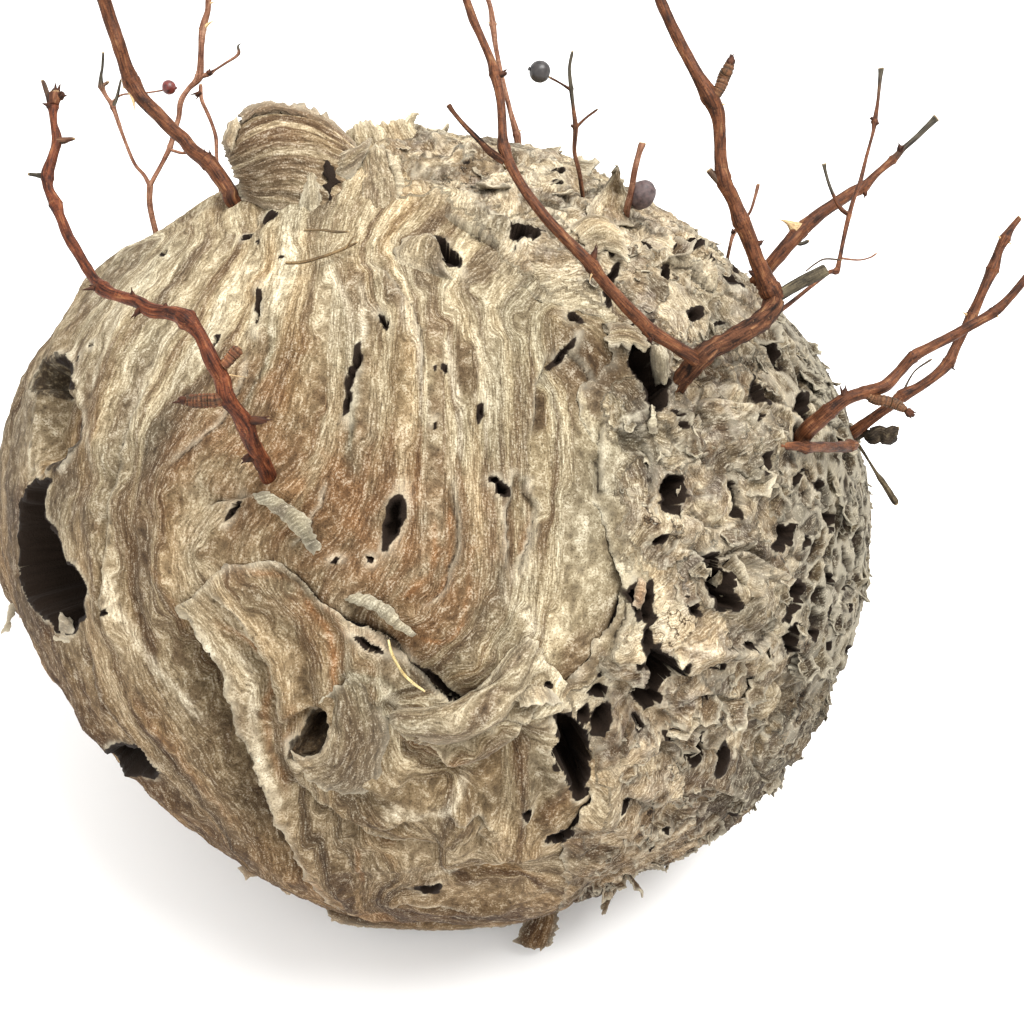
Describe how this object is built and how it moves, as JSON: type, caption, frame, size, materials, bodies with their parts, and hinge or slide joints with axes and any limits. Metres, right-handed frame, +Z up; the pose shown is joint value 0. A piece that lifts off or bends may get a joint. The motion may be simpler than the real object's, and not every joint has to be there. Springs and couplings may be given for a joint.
{
  "type": "hornet nest",
  "caption": "Lumpy striped paper nest with a torn side opening and weathered pockets, still on cut thorny twigs, lying on its flattened underside.",
  "frame": {"origin": "on the floor, in the middle of the flattened patch that the nest rests on", "axes": "+Z up, +X to the right of the torn opening's side, +Y away from the striped front"},
  "size_m": [0.3423, 0.2829, 0.3198],
  "materials": {
    "nest_paper": "chewed wood paper in cream, tan and grey-brown stripes, matt",
    "reddish_bark": "knobby dark reddish brown bark with ring scars, satin",
    "brown_bark": "smooth reddish brown bark with nodes, buds and thorns, satin",
    "pale_bark": "thin pale brown bark, matt",
    "dark_bark": "dark brown peeling bark, matt",
    "olive_bark": "dark olive grey bark with a pale cut end, matt",
    "dry_leaf": "dry leaf and leaf stalk, matt",
    "straw": "yellow dry straw, satin",
    "red_berry_skin": "dark red dried berry skin, glossy",
    "black_berry_skin": "black dried berry skin, glossy",
    "grey_berry_skin": "grey-purple berry skin with bloom, satin"
  },
  "bodies": {
    "root": {"nest": "nest_paper", "gnarled_twig": "reddish_bark", "gnarled_spur_left": "reddish_bark", "gnarled_spur_right": "reddish_bark", "broken_red_twig": "reddish_bark", "tall_left_cane": "brown_bark", "thorny_branch": "brown_bark", "far_right_cane": "brown_bark", "thin_right_twig": "brown_bark", "thin_right_side_twig": "brown_bark", "pale_thin_twig": "pale_bark", "back_left_stem": "pale_bark", "back_left_arm": "pale_bark", "back_right_arm": "pale_bark", "hooked_side_twig": "pale_bark", "back_thin_stem": "pale_bark", "red_berry_stalk": "pale_bark", "back_cane": "pale_bark", "far_back_twig": "pale_bark", "crown_stub": "dark_bark", "centre_dead_twig": "dark_bark", "berry_twig": "dark_bark", "berry_side_twig": "dark_bark", "berry_stalk": "dark_bark", "short_back_twig": "dark_bark", "stray_stick": "dark_bark", "centre_cane": "brown_bark", "tall_right_cane": "brown_bark", "right_cane_spur": "brown_bark", "cut_stub": "olive_bark", "low_right_cane": "brown_bark", "low_right_spur": "brown_bark", "leaf_shred": "dry_leaf", "leaf_stalk": "dry_leaf", "straw_sliver": "straw", "red_berry": "red_berry_skin", "black_berry": "black_berry_skin", "grey_berry": "grey_berry_skin"}
  },
  "joints": []
}
